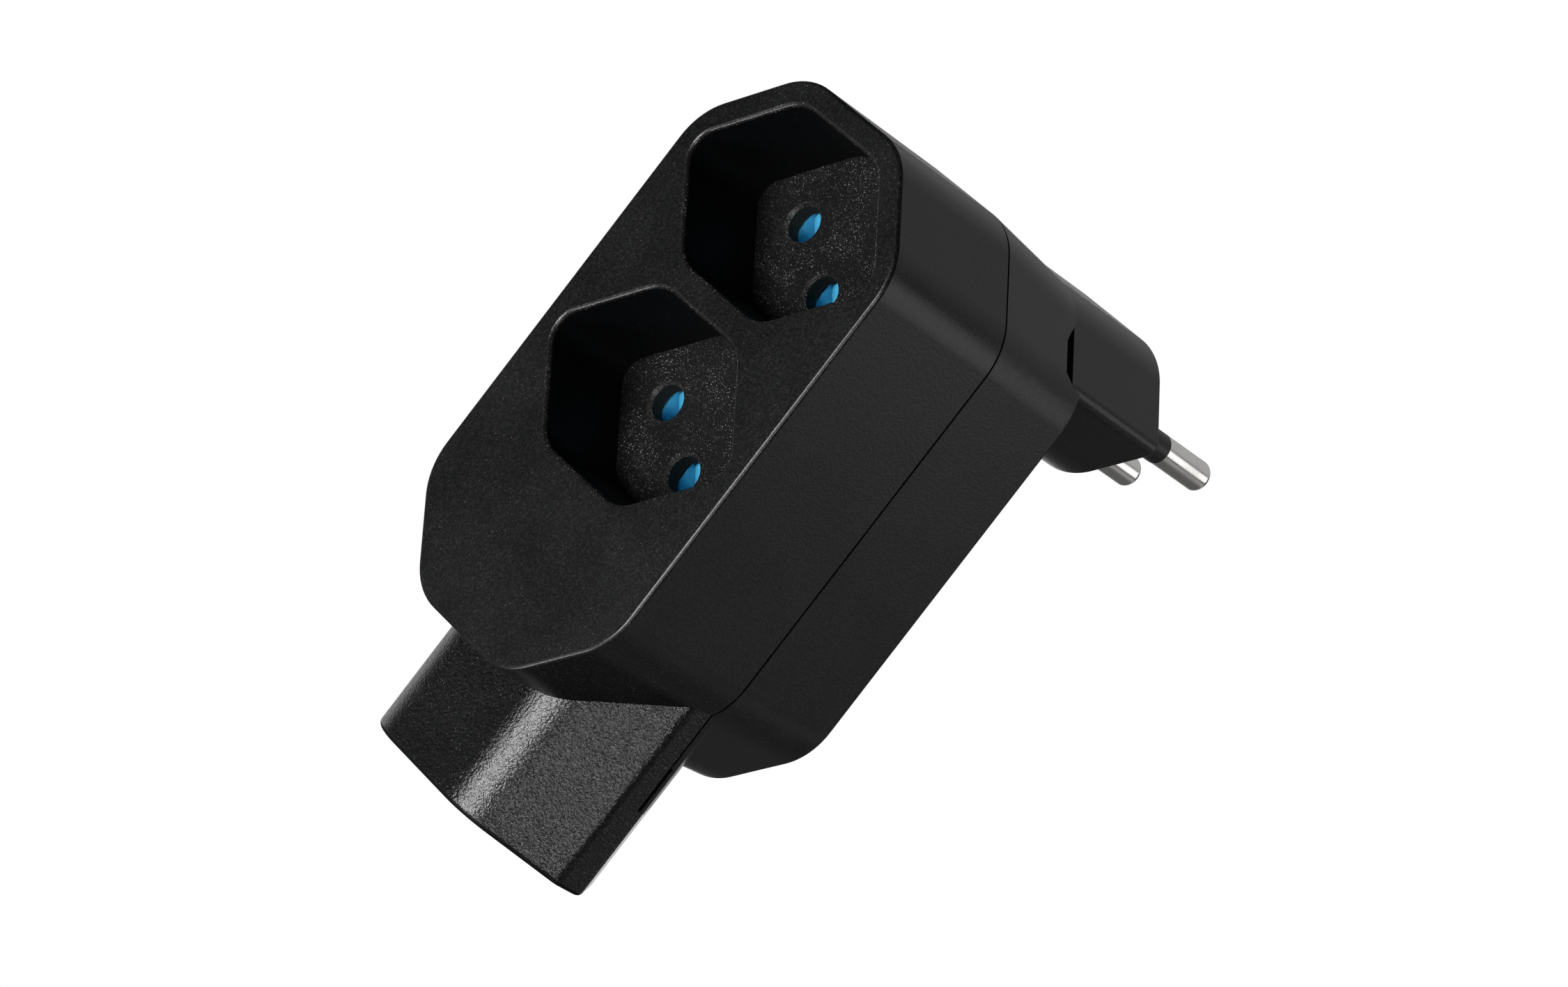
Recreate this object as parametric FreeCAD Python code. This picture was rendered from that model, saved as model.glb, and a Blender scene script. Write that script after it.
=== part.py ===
"""Three-way adapter for round-pin mains plugs: a plug on the back, two sockets in front, one below.

All sizes are in millimetres. +Z points up, +Y points into the wall, -Y points at the user.
The origin is in the middle of the plug's face, on the line through its two current pins.
"""

import FreeCAD, Part
import math
import os
from FreeCAD import Vector

# Pins and pin pattern of the plug system
pin_spacing = 19.0
earth_offset = 5.0
pin_diameter = 4.0
pin_length = 19.5
bare_pin_length = 9.5
pin_tip_radius = 0.9
pin_root_diameter = 3.4
pin_neck_diameter = 3.0
pin_rivet_diameter = 2.4

# Outline of the body, seen from the front
body_width = 42.6
body_height = 76.0
corner_cut = 11.5
corner_radius = 9.0
wall = 2.0
front_wall = 2.2
rear_wall = 2.2
cover_depth = 21.8
shell_depth = 39.5
seam_gap = 0.3
edge_radius = 0.5
recess_edge_radius = 0.55
rear_edge_radius = 0.4
side_draft = 1.15
cut_draft = 1.1
top_draft = 1.7
bottom_draft = 1.0
lap_length = 1.5
lap_wall = 0.9
lap_play = 0.1

# Plug tower on the back
plug_reach = 16.85
plug_drop = 11.0
plug_half_length = 19.2
plug_half_height = 9.45
plug_corner_radius = 9.4
plug_ridge_radius = 1.5
plug_face_wall = 3.0
plug_edge_radius = 0.4
plug_ledge = 2.0
plug_ledge_step = 0.7
plug_ledge_slope = 0.5
plug_gap = 0.15
plug_neck_inset = 1.5
plug_neck_play = 0.1
plug_neck_wall = 1.4
pin_boss_wall = 1.5
hook_side = 4.9
hook_width = 4.0
hook_thickness = 1.4
hook_length = 1.6
hook_barb = 0.5
notch_depth = 1.7
notch_base = 4.2
notch_low_flare = 1.2
notch_high_flare = 1.25
notch_high_step = 1.0
notch_high_end = 3.1
notch_shift = 1.85

# Recess of one socket, seen into its mouth
recess_half_height = 11.5
recess_flat_half = 8.1
recess_corner_radius = 3.3
recess_blend_radius = 6.0
recess_depth = 13.4
recess_draft = 0.3
floor_wall = 2.4
collar_wall = 1.6
pin_hole_diameter = 4.7
pin_hole_entry = 0.45
first_socket_drop = 14.6
socket_pitch = 26.6

# Housing of the lower socket, seen from above
housing_half_width = 19.6
housing_half_depth = 12.6
housing_flat_half = 10.2
housing_side_half = 2.1
housing_axis = 20.8
housing_reach = 16.5
housing_ridge_radius = 9.0
housing_side_radius = 2.0
housing_wall = 1.1
housing_play = 0.1
housing_shoulder_rise = 12.0
housing_neck = 2.8
housing_lip = 2.2
housing_lip_half = 5.0
housing_edge_radius = 0.7
mouth_edge_radius = 0.25
skirt_wall = 1.2
skirt_end_rise = 12.5
skirt_groove_length = 6.4
skirt_groove_width = 0.25

# Shutter that closes the pin holes, with its guide and spring
pin_clear = 0.05
slide_play = 0.3
side_play = 0.2
shutter_thickness = 5.0
shutter_plate = 2.0
shutter_half_height = 2.55
shutter_cheek = 0.85
ramp_half = 2.35
ramp_land = 0.6
spigot_radius = 0.9
spigot_length = 1.5
guide_plate = 1.4
guide_half_length = 13.9
guide_low = 8.4
guide_low_cut = 4.9
guide_high_cut = 6.1
rail_high = 5.0
stop_wall = 0.8
stop_half = 3.4
rest_wall = 0.8
rest_width = 1.2
rest_play = 0.1
spring_wire = 0.4
spring_radius = 1.4
spring_turns = 6
spring_play = 0.05
spring_packed = 3.25

# Contacts and their carriers
contact_bore = 4.1
contact_wall = 0.65
contact_foot = 0.8
contact_slit = 0.6
contact_slit_end = 3.2
contact_play = 0.3
bore_play = 0.1
tower_wall = 0.8
carrier_plate = 2.5
carrier_plate_start = 4.2
carrier_half_width = 13.0
carrier_ear_half = 5.0
carrier_margin = 3.4
bar_width = 4.4
bar_thickness = 1.0
bar_room = 0.2
bar_bend_radius = 1.0
bar_end_margin = 2.8
rivet_play = 0.05

# Case screws, driven in from the back
screw_inset = 5.3
screw_drop = 27.9
screw_rise = 18.0
screw_radius = 1.2
screw_length = 10.0
screw_head_radius = 2.2
screw_head_height = 1.5
screw_slot = 0.7
screw_slot_depth = 0.8
screw_play = 0.1
screw_sink = 3.2
boss_radius = 2.4
boss_end = 30.0
head_wall = 0.9

# Places that follow from the sizes above
face_to_plug = shell_depth + plug_reach
front_y = -face_to_plug
seam_y = front_y + cover_depth
rear_y = front_y + shell_depth
ledge_y = rear_y - plug_ledge
neck_start = ledge_y - wall
top_z = plug_drop
half_width = body_width / 2
recess_half_length = recess_half_height + recess_flat_half
floor_back = recess_depth + floor_wall
shutter_front = floor_back + slide_play
shutter_back = shutter_front + shutter_thickness
guide_front = shutter_back + slide_play
guide_back = guide_front + guide_plate
travel = shutter_half_height + pin_diameter / 2 + pin_clear
guide_high = shutter_half_height + travel + spring_packed + stop_wall
bar_back = neck_start - bar_room
bar_y = bar_back - bar_thickness
contact_start = guide_back + contact_play
contact_end = bar_y - front_y
pin_side = pin_spacing / 2
shutter_half_length = pin_side + ramp_half + shutter_cheek
low_z = top_z - body_height
mouth_z = low_z - housing_reach
skirt_end = mouth_z + skirt_end_rise
shoulder_z = low_z + housing_shoulder_rise
shell_start = seam_y + seam_gap
axis_y = front_y + housing_axis
screw_side = half_width - screw_inset
ear_z = top_z - screw_drop
head_boss_radius = screw_head_radius + screw_play + head_wall
socket_tops = {"upper": top_z - first_socket_drop, "middle": top_z - first_socket_drop - socket_pitch}
holes = {"line": (-pin_side, 0.0), "neutral": (pin_side, 0.0), "earth": (0.0, -earth_offset)}
big = 200.0


# Plane outlines: points in order, anticlockwise, with a radius at each corner
def moved_in(points, distances):
    """Return the outline with each side moved inwards; side i runs from point i to the next."""
    count = len(points)
    if isinstance(distances, (int, float)):
        distances = [distances] * count
    lines = []
    for i in range(count):
        (x0, y0), (x1, y1) = points[i], points[(i + 1) % count]
        length = math.hypot(x1 - x0, y1 - y0)
        nx, ny = -(y1 - y0) / length, (x1 - x0) / length
        lines.append((nx, ny, nx * x0 + ny * y0 + distances[i]))
    corners = []
    for i in range(count):
        a, b, c = lines[i - 1]
        d, e, f = lines[i]
        det = a * e - b * d
        corners.append(((c * e - b * f) / det, (a * f - c * d) / det))
    return corners


def outline_wire(points, radii, z):
    """Return a closed wire of straight sides and corner arcs at height z."""
    count = len(points)
    if isinstance(radii, (int, float)):
        radii = [radii] * count
    starts, ends, middles = [], [], []
    for i in range(count):
        corner = Vector(points[i][0], points[i][1], z)
        back = Vector(points[i - 1][0], points[i - 1][1], z) - corner
        ahead = Vector(points[(i + 1) % count][0], points[(i + 1) % count][1], z) - corner
        half = back.getAngle(ahead) / 2
        back.normalize()
        ahead.normalize()
        reach = radii[i] / math.tan(half)
        inward = (back + ahead).normalize()
        starts.append(corner + back * reach)
        ends.append(corner + ahead * reach)
        middles.append(corner + inward * (radii[i] / math.sin(half) - radii[i]))
    edges = []
    for i in range(count):
        if radii[i] > 0:
            edges.append(Part.Arc(starts[i], middles[i], ends[i]).toShape())
        edges.append(Part.LineSegment(ends[i], starts[(i + 1) % count]).toShape())
    return Part.Wire(edges)


def upright(points, radii, z0, z1):
    """Return a prism along Z whose outline lies in the XY plane."""
    return Part.Face(outline_wire(points, radii, z0)).extrude(Vector(0, 0, z1 - z0))


def turned(shape):
    """Turn a shape a quarter turn about X, so that its Y becomes Z and its Z becomes -Y."""
    shape.rotate(Vector(0, 0, 0), Vector(1, 0, 0), 90)
    return shape


def slab(points, radii, y0, y1):
    """Return a prism along Y whose outline is given as X and Z."""
    return turned(upright(points, radii, -y1, -y0))


def block(x0, x1, y0, y1, z0, z1):
    """Return a box between two corners."""
    return Part.makeBox(x1 - x0, y1 - y0, z1 - z0, Vector(x0, y0, z0))


def rod(radius, y0, y1, x, z):
    """Return a cylinder along Y."""
    return Part.makeCylinder(radius, y1 - y0, Vector(x, y0, z), Vector(0, 1, 0))


def joined(shapes):
    """Fuse shapes into one clean solid."""
    return shapes[0].fuse(shapes[1:]).removeSplitter()


def rectangle(half, low, high):
    """Return the corners of a rectangle that is centred across."""
    return [(-half, low), (half, low), (half, high), (-half, high)]


def long_hexagon(half_length, half_height):
    """Return a hexagon with two flat sides and two right-angled ends."""
    flat = half_length - half_height
    return [(-flat, -half_height), (flat, -half_height), (half_length, 0.0),
            (flat, half_height), (-flat, half_height), (-half_length, 0.0)]


def shifted(points, dz):
    """Move an outline in its second coordinate."""
    return [(x, z + dz) for x, z in points]


def body_outline():
    """Return the long octagon of the body's front."""
    inner = half_width - corner_cut
    return [(-inner, low_z), (inner, low_z), (half_width, low_z + corner_cut), (half_width, top_z - corner_cut),
            (inner, top_z), (-inner, top_z), (-half_width, top_z - corner_cut), (-half_width, low_z + corner_cut)]


def rear_outline():
    """Return the smaller octagon of the body's rear face."""
    drafts = [bottom_draft, cut_draft, side_draft, cut_draft, top_draft, cut_draft, side_draft, cut_draft]
    return moved_in(body_outline(), drafts)


def housing_outline(front_inset, back_inset):
    """Return the outline of the lower socket's housing and its corner radii, seen from above."""
    right = [(housing_flat_half, -housing_half_depth), (housing_half_width, -housing_side_half),
             (housing_half_width, housing_side_half), (housing_flat_half, housing_half_depth)]
    points = shifted(right + [(-x, y) for x, y in reversed(right)], axis_y)
    insets = [front_inset] + [back_inset] * 5 + [front_inset] * 2
    front, back = housing_ridge_radius - front_inset, housing_ridge_radius - back_inset
    side = max(housing_side_radius - back_inset, 0.3)
    return moved_in(points, insets), [front, side, side, back, back, side, side, front]


def plug_outline(inset):
    """Return the plug's hexagon and its corner radii."""
    round_radius = max(plug_corner_radius - inset, 0.5)
    ridge = max(plug_ridge_radius - inset, 0.3)
    radii = [round_radius, round_radius, ridge, round_radius, round_radius, ridge]
    return moved_in(long_hexagon(plug_half_length, plug_half_height), inset), radii


def recess_outline(outset):
    """Return the socket recess and its corner radii, about the line through its current holes."""
    blend = recess_blend_radius + outset
    end = recess_corner_radius + outset
    return moved_in(long_hexagon(recess_half_length, recess_half_height), -outset), [blend, blend, end] * 2


def guide_outline():
    """Return the cut rectangle that the shutter guide and the lower carrier fill."""
    half, low, high = guide_half_length, -guide_low, guide_high
    return [(-half + guide_low_cut, low), (half - guide_low_cut, low), (half, low + guide_low_cut),
            (half, high - guide_high_cut), (half - guide_high_cut, high), (-half + guide_high_cut, high),
            (-half, high - guide_high_cut), (-half, low + guide_low_cut)]


# A socket is built about its own mouth: Y runs inwards and the shutter opens towards +Z
def placed(shape, socket):
    """Put a shape made about a socket's mouth where that socket is."""
    if socket == "lower":
        turned(shape)
        shape.translate(Vector(0, axis_y, mouth_z))
    else:
        shape.translate(Vector(0, front_y, socket_tops[socket]))
    return shape


def socket_cut():
    """Return the space of one recess with its three pin holes."""
    near = turned(outline_wire(*recess_outline(recess_draft / recess_depth), 1.0))
    far = turned(outline_wire(*recess_outline(-recess_draft), -recess_depth))
    parts = [Part.makeLoft([near, far], True, True)]
    for x, z in holes.values():
        radius = pin_hole_diameter / 2
        parts.append(rod(radius, recess_depth - 0.5, floor_back + 0.5, x, z))
        parts.append(Part.makeCone(radius + pin_hole_entry, radius, pin_hole_entry,
                                   Vector(x, recess_depth, z), Vector(0, 1, 0)))
    return joined(parts)


def lower_room(front_inset, back_inset, z0, z1):
    """Return the room of the lower socket's housing between two heights."""
    points, radii = housing_outline(front_inset, back_inset)
    return upright(points, radii, z0, z1)


def screw_places():
    """Return where the case screws stand, as X and Z."""
    return [(side * screw_side, z) for z in (ear_z, low_z + screw_rise) for side in (-1, 1)]


def edges_at(shape, axis, value):
    """Return the edges that lie in the plane where one coordinate has a value."""
    found = []
    for edge in shape.Edges:
        low, high = getattr(edge.BoundBox, axis + "Min"), getattr(edge.BoundBox, axis + "Max")
        if abs(low - value) < 1e-4 and abs(high - value) < 1e-4:
            found.append(edge)
    return found


def recess_rims(shape, axis, value):
    """Return the edges round the recesses in a flat front face."""
    flat = [edge.hashCode() for edge in edges_at(shape, axis, value)]
    face = max((f for f in shape.Faces if all(e.hashCode() in flat for e in f.Edges)), key=lambda f: f.Area)
    rim = [edge.hashCode() for edge in face.OuterWire.Edges]
    return [edge for edge in face.Edges if edge.hashCode() not in rim]


# Front cover with the two front recesses
def front_cover():
    outline = body_outline()
    cover = slab(outline, corner_radius, front_y, seam_y)
    cover = cover.makeFillet(edge_radius, edges_at(cover, "Y", front_y))
    cavity = slab(moved_in(outline, wall), corner_radius - wall, front_y + front_wall, seam_y + 1)
    lap = slab(moved_in(outline, wall - lap_wall - lap_play), corner_radius - wall + lap_wall,
               seam_y - lap_length - lap_play, seam_y + 1)
    parts = [cover.cut(cavity).cut(lap)]
    for socket in socket_tops:
        points, radii = recess_outline(collar_wall)
        collar = placed(slab(points, radii, front_wall / 2, floor_back), socket)
        parts.append(collar.common(cover))
    for x, z in screw_places():
        parts.append(rod(boss_radius, front_y + front_wall / 2, front_y + boss_end, x, z))
    cover = joined(parts)
    for socket in socket_tops:
        cover = cover.cut(placed(socket_cut(), socket))
    for x, z in screw_places():
        pilot = screw_radius + screw_play
        cover = cover.cut(rod(pilot, front_y + boss_end - screw_length, front_y + boss_end + 1, x, z))
    cover = cover.cut(lower_room(-housing_play, -housing_play, mouth_z - 1, shoulder_z + housing_play))
    return cover.makeFillet(recess_edge_radius, recess_rims(cover, "Y", front_y))


# Back shell, with the skirt that backs the lower housing and the ledge that carries the plug
def tapered(inset, y0, y1):
    """Return a solid that narrows from the seam to the rear, inside the shell's outside by an inset."""
    radius = corner_radius - inset
    near = turned(outline_wire(moved_in(body_outline(), inset), radius, -y0))
    far = turned(outline_wire(moved_in(rear_outline(), inset), radius, -y1))
    return Part.makeLoft([near, far], True, True)


def lap_ring():
    """Return the thin ring of the shell that reaches into the cover."""
    outline = body_outline()
    start = seam_y - lap_length
    outer = slab(moved_in(outline, wall - lap_wall), corner_radius - wall + lap_wall, start, shell_start)
    return outer.cut(slab(moved_in(outline, wall), corner_radius - wall, start - 1, shell_start + 1))


def plug_seat_cut():
    """Return what the plug's ledge takes off the rear of the shell."""
    high, low = plug_ledge_step, plug_ledge_step - plug_ledge_slope
    profile = [(ledge_y, top_z + big), (ledge_y, high), (rear_y + 0.1, low), (rear_y + big, low),
               (rear_y + big, top_z + big)]
    wire = Part.makePolygon([Vector(-big, y, z) for y, z in profile] + [Vector(-big, *profile[0])])
    wedge = Part.Face(wire).extrude(Vector(2 * big, 0, 0))
    points, radii = plug_outline(-plug_gap)
    neck_points, neck_radii = plug_outline(plug_neck_inset)
    neck = slab(neck_points, neck_radii, neck_start - 1, rear_y + 1)
    return wedge.fuse([slab(points, radii, ledge_y, rear_y + 1), neck])


def notch(side):
    """Return the notch in the shell's slanted side, next to the foot of the plug."""
    base = notch_base / 2
    corners = [(-base, -notch_depth), (base, -notch_depth), (base + notch_low_flare, 0.2),
               (-base - notch_high_end, 0.2), (-base - notch_high_flare, -notch_high_step)]
    cut = upright(corners, 0.0, -wall * 1.5, wall * 1.5)
    cut.rotate(Vector(0, 0, 0), Vector(0, 1, 0), 45)
    (x0, z0), (x1, z1) = rear_outline()[3:5]
    shift = notch_shift / math.sqrt(2)
    cut.translate(Vector((x0 + x1) / 2 + shift, ledge_y, (z0 + z1) / 2 - shift))
    return cut if side > 0 else cut.mirror(Vector(0, 0, 0), Vector(1, 0, 0))


def skirt():
    """Return the half ring of the shell round the back of the lower housing."""
    ring = lower_room(0.0, 0.0, skirt_end, shoulder_z)
    ring = ring.cut(lower_room(skirt_wall, skirt_wall, skirt_end - 1, shoulder_z + 1))
    ring = ring.cut(block(-big, big, -big, shell_start, -big, big))
    for side in (-1, 1):
        x0, x1 = sorted((side * (housing_half_width - skirt_wall), side * (housing_half_width + 1)))
        ring = ring.cut(block(x0, x1, shell_start - 1, shell_start + skirt_groove_width,
                              skirt_end - 1, skirt_end + skirt_groove_length))
    return ring


def back_shell():
    solid = tapered(0.0, shell_start, rear_y)
    solid = solid.makeFillet(rear_edge_radius, edges_at(solid, "Y", rear_y))
    seat = block(-big, big, neck_start, rear_y, -plug_half_height - plug_gap - wall, big)
    cavity = tapered(wall, shell_start, rear_y - rear_wall).cut(seat)
    shell = joined([solid.cut(cavity), lap_ring()])
    room = lower_room(-housing_play, -housing_play, mouth_z - 1, shoulder_z)
    shell = shell.cut(room.common(block(-big, big, -big, shell_start, -big, big)))
    shell = shell.cut(lower_room(0.0, 0.0, mouth_z - 1, shoulder_z)).cut(plug_seat_cut())
    start = front_y + boss_end + screw_play
    bosses = [rod(head_boss_radius, start, rear_y - rear_wall / 2, x, z) for x, z in screw_places()]
    shell = joined([shell, skirt()] + bosses)
    for x, z in screw_places():
        shell = shell.cut(rod(screw_radius + screw_play, start - 1, rear_y + 1, x, z))
        shell = shell.cut(rod(screw_head_radius + screw_play, rear_y - screw_sink, rear_y + 1, x, z))
    for side in (-1, 1):
        shell = shell.cut(notch(side))
    return shell


# Housing of the lower socket: a full collar at the mouth, a slimmer box inside the skirt
def lower_socket_housing():
    inner = skirt_wall + housing_play
    outer = lower_room(0.0, 0.0, mouth_z, shoulder_z - housing_play)
    outer = outer.makeFillet(housing_edge_radius, edges_at(outer, "Z", mouth_z))
    behind = block(-big, big, seam_y, big, skirt_end - housing_play, big)
    slim = lower_room(0.0, inner, skirt_end - 1, shoulder_z + housing_neck)
    solid = joined([outer.cut(behind), slim])
    solid = solid.cut(lower_room(housing_wall, inner + housing_wall, mouth_z + floor_back, top_z))
    solid = solid.cut(placed(socket_cut(), "lower"))
    solid = solid.makeFillet(mouth_edge_radius, recess_rims(solid, "Z", mouth_z))
    front, rear = axis_y - housing_half_depth, axis_y + housing_half_depth
    front_lip = low_z + wall + housing_play
    rear_lip = shoulder_z + housing_play
    lips = [block(-housing_lip_half, housing_lip_half, front - housing_lip, front + housing_wall / 2,
                  front_lip, front_lip + housing_wall),
            block(-housing_lip_half, housing_lip_half, rear - inner - housing_wall / 2, rear - housing_play,
                  rear_lip, rear_lip + housing_wall)]
    return joined([solid] + lips)


# Plug tower with its neck and hooks
def hook(side):
    """Return one of the two hooks that hold the plug tower behind the shell's ledge."""
    edge = plug_half_height - plug_neck_inset - plug_neck_play
    tip, inside = neck_start - hook_length, hook_thickness - edge
    x0, x1 = side * hook_side - hook_width / 2, side * hook_side + hook_width / 2
    return [block(x0, x1, tip, neck_start + 1, -edge, inside),
            block(x0, x1, tip, neck_start - plug_neck_play, -edge - hook_barb, inside)]


def plug_body():
    points, radii = plug_outline(0.0)
    tower = slab(points, radii, ledge_y, 0.0)
    tower = tower.makeFillet(plug_edge_radius, edges_at(tower, "Y", 0.0))
    neck_inset = plug_neck_inset + plug_neck_play
    neck_points, neck_radii = plug_outline(neck_inset)
    parts = [tower, slab(neck_points, neck_radii, neck_start, ledge_y + 1)]
    body = joined(parts + hook(-1) + hook(1))
    pocket_points, pocket_radii = plug_outline(neck_inset + plug_neck_wall)
    pocket = slab(pocket_points, pocket_radii, neck_start - hook_length - 1, -plug_face_wall)
    root = pin_root_diameter / 2
    for x, z in holes.values():
        pocket = pocket.cut(rod(root + pin_boss_wall, neck_start, 1, x, z))
    body = body.cut(pocket)
    for x, z in holes.values():
        body = body.cut(rod(root + rivet_play, neck_start - hook_length - 1, 1, x, z))
    return body


# Pins, their insulating collars and the rivets at their roots
def pin(name):
    x, z = holes[name]
    radius = pin_diameter / 2
    bare_start = 0.0 if name == "earth" else pin_length - bare_pin_length
    tip = rod(radius, bare_start, pin_length, x, z)
    tip = tip.makeFillet(pin_tip_radius, edges_at(tip, "Y", pin_length))
    parts = [tip, rod(pin_root_diameter / 2, bar_back, 0.0, x, z),
             rod(pin_rivet_diameter / 2, bar_y, bar_back + 1, x, z)]
    if name != "earth":
        parts.append(rod(pin_neck_diameter / 2, -1, bare_start + 1, x, z))
    return joined(parts)


def pin_collar(name):
    x, z = holes[name]
    end = pin_length - bare_pin_length - rivet_play
    collar = rod(pin_diameter / 2, rivet_play, end, x, z)
    return collar.cut(rod(pin_neck_diameter / 2 + rivet_play, -big, big, x, z))


# Shutter: a plate with three ramps that an entering plug pushes up
def ramp(half, low, high):
    """Return a wedge whose slope faces the mouth and the low side."""
    profile = [(shutter_front, high), (shutter_back, high), (shutter_back, low),
               (shutter_back - ramp_land, low), (shutter_front, high - ramp_land)]
    wire = Part.makePolygon([Vector(-half, y, z) for y, z in profile] + [Vector(-half, *profile[0])])
    return Part.Face(wire).extrude(Vector(2 * half, 0, 0))


def shutter():
    half = shutter_half_height
    plate = block(-shutter_half_length, shutter_half_length, shutter_back - shutter_plate, shutter_back, -half, half)
    parts = [plate.common(ramp(shutter_half_length, -half, half))]
    tongue_high = -earth_offset + half
    for x, low, high in ((-pin_side, -half, half), (pin_side, -half, half), (0.0, -earth_offset - half, tongue_high)):
        wedge = ramp(ramp_half, low, high)
        wedge.translate(Vector(x, 0, 0))
        parts.append(wedge)
        for x0 in (x - ramp_half - shutter_cheek, x + ramp_half):
            parts.append(block(x0, x0 + shutter_cheek, shutter_front, shutter_back, low, high))
    tongue_half = ramp_half + shutter_cheek
    parts.append(block(-tongue_half, tongue_half, shutter_front, shutter_back, tongue_high, half))
    middle = (shutter_front + shutter_back) / 2
    parts.append(Part.makeCylinder(spigot_radius, spigot_length + 0.5, Vector(0, middle, half - 0.5)))
    return joined(parts)


# Guide that holds the shutter against the back of the floor and stops its spring
def shutter_guide():
    plate = slab(guide_outline(), 0.0, guide_front, guide_back)
    parts = [plate]
    inner = shutter_half_length + side_play
    rest = -shutter_half_height - rest_play
    for side in (-1, 1):
        x0, x1 = sorted((side * inner, side * guide_half_length))
        parts.append(block(x0, x1, floor_back, guide_front + 0.5, rest - rest_wall, rail_high))
        x0, x1 = sorted((side * (inner - rest_width), side * guide_half_length))
        parts.append(block(x0, x1, shutter_back - shutter_plate, guide_front + 0.5, rest - rest_wall, rest))
    stop = guide_high - stop_wall
    parts.append(block(-stop_half, stop_half, floor_back, guide_front + 0.5, stop, guide_high))
    middle = (shutter_front + shutter_back) / 2
    parts.append(Part.makeCylinder(spigot_radius, spigot_length + 0.4, Vector(0, middle, stop - spigot_length)))
    guide = joined(parts)
    for x, z in holes.values():
        guide = guide.cut(rod(pin_hole_diameter / 2, guide_front - 0.5, guide_back + 1, x, z))
    return guide


def shutter_spring():
    low = shutter_half_height + spring_wire / 2 + spring_play
    high = guide_high - stop_wall - spring_wire / 2 - spring_play
    helix = Part.makeHelix((high - low) / spring_turns, high - low, spring_radius)
    ring = Part.Circle(Vector(spring_radius, 0, 0), Vector(0, 1, 0), spring_wire / 2).toShape()
    coil = Part.Wire(helix).makePipeShell([Part.Wire(ring)], True, True)
    coil.translate(Vector(0, (shutter_front + shutter_back) / 2, low))
    return Part.Solid(coil.Shells[0])


# Contact: a slit tube that grips a plug pin, closed by a foot that meets the bar
def contact(name):
    x, z = holes[name]
    radius = contact_bore / 2 + contact_wall
    tube = rod(radius, contact_start, contact_end, x, z)
    tube = tube.cut(rod(contact_bore / 2, contact_start - 1, contact_end - contact_foot, x, z))
    slit = contact_slit / 2
    end = contact_end - contact_slit_end
    tube = tube.cut(block(x - radius - 1, x + radius + 1, contact_start - 1, end, z - slit, z + slit))
    return tube.cut(block(x - slit, x + slit, contact_start - 1, end, z - radius - 1, z + radius + 1))


# Carriers: a plate with a tower round each contact
def towers():
    """Return the towers of one socket and the bores that go through them."""
    radius = contact_bore / 2 + contact_wall + bore_play
    end = contact_end - contact_foot
    solid = [rod(radius + tower_wall, guide_back, end, x, z) for x, z in holes.values()]
    bore = [rod(radius, guide_back - 1, end + 1, x, z) for x, z in holes.values()]
    return solid, bore


def contact_carrier():
    start = front_y + guide_back + carrier_plate_start
    end = start + carrier_plate
    high = socket_tops["upper"] + carrier_margin
    low = socket_tops["middle"] - earth_offset - carrier_margin
    parts = [slab(rectangle(carrier_half_width, low, high), 0.0, start, end)]
    parts.append(slab(rectangle(screw_side, ear_z - carrier_ear_half, ear_z + carrier_ear_half), 0.0, start, end))
    for socket in socket_tops:
        solid, bore = towers()
        parts += [placed(shape, socket) for shape in solid]
    carrier = joined(parts)
    for socket in socket_tops:
        solid, bore = towers()
        for shape in bore:
            carrier = carrier.cut(placed(shape, socket))
    for x, z in screw_places():
        carrier = carrier.cut(rod(boss_radius + bore_play, start - 1, end + 1, x, z))
    return carrier


def lower_contact_carrier():
    start = guide_back + carrier_plate_start
    solid, bore = towers()
    carrier = joined([slab(guide_outline(), 0.0, start, start + carrier_plate)] + solid)
    for shape in bore:
        carrier = carrier.cut(shape)
    return placed(carrier, "lower")


# Bars that join the pin of one pole to its three contacts
def bus_bar(name):
    x, z = holes[name]
    half = bar_width / 2
    tab_bottom = mouth_z + contact_end
    strip = block(x - half, x + half, bar_y, bar_back, tab_bottom, z + bar_end_margin)
    tab = block(x - half, x + half, axis_y - z - half, bar_back, tab_bottom, tab_bottom + bar_thickness)
    bar = joined([strip, tab])
    outer = [edge for edge in edges_at(bar, "Z", tab_bottom) if abs(edge.CenterOfMass.y - bar_back) < 1e-4]
    bar = bar.makeFillet(bar_bend_radius, outer)
    for boss_x, boss_z in screw_places():
        bar = bar.cut(rod(head_boss_radius + bar_room, bar_y - 1, bar_back + 1, boss_x, boss_z))
    return bar.cut(rod(pin_rivet_diameter / 2 + rivet_play, bar_y - 1, bar_back + 1, x, z))


# Case screws, as one group
def case_screws():
    screws = []
    for x, z in screw_places():
        under = rear_y - screw_sink
        head = rod(screw_head_radius, under, under + screw_head_height, x, z)
        shank = rod(screw_radius, under - screw_length, under + 0.5, x, z)
        top = under + screw_head_height
        reach = screw_head_radius * 0.7
        half = screw_slot / 2
        cross = [block(x - reach, x + reach, top - screw_slot_depth, top + 1, z - half, z + half),
                 block(x - half, x + half, top - screw_slot_depth, top + 1, z - reach, z + reach)]
        screws.append(joined([head, shank]).cut(cross[0].fuse(cross[1])))
    return Part.makeCompound(screws)


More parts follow.
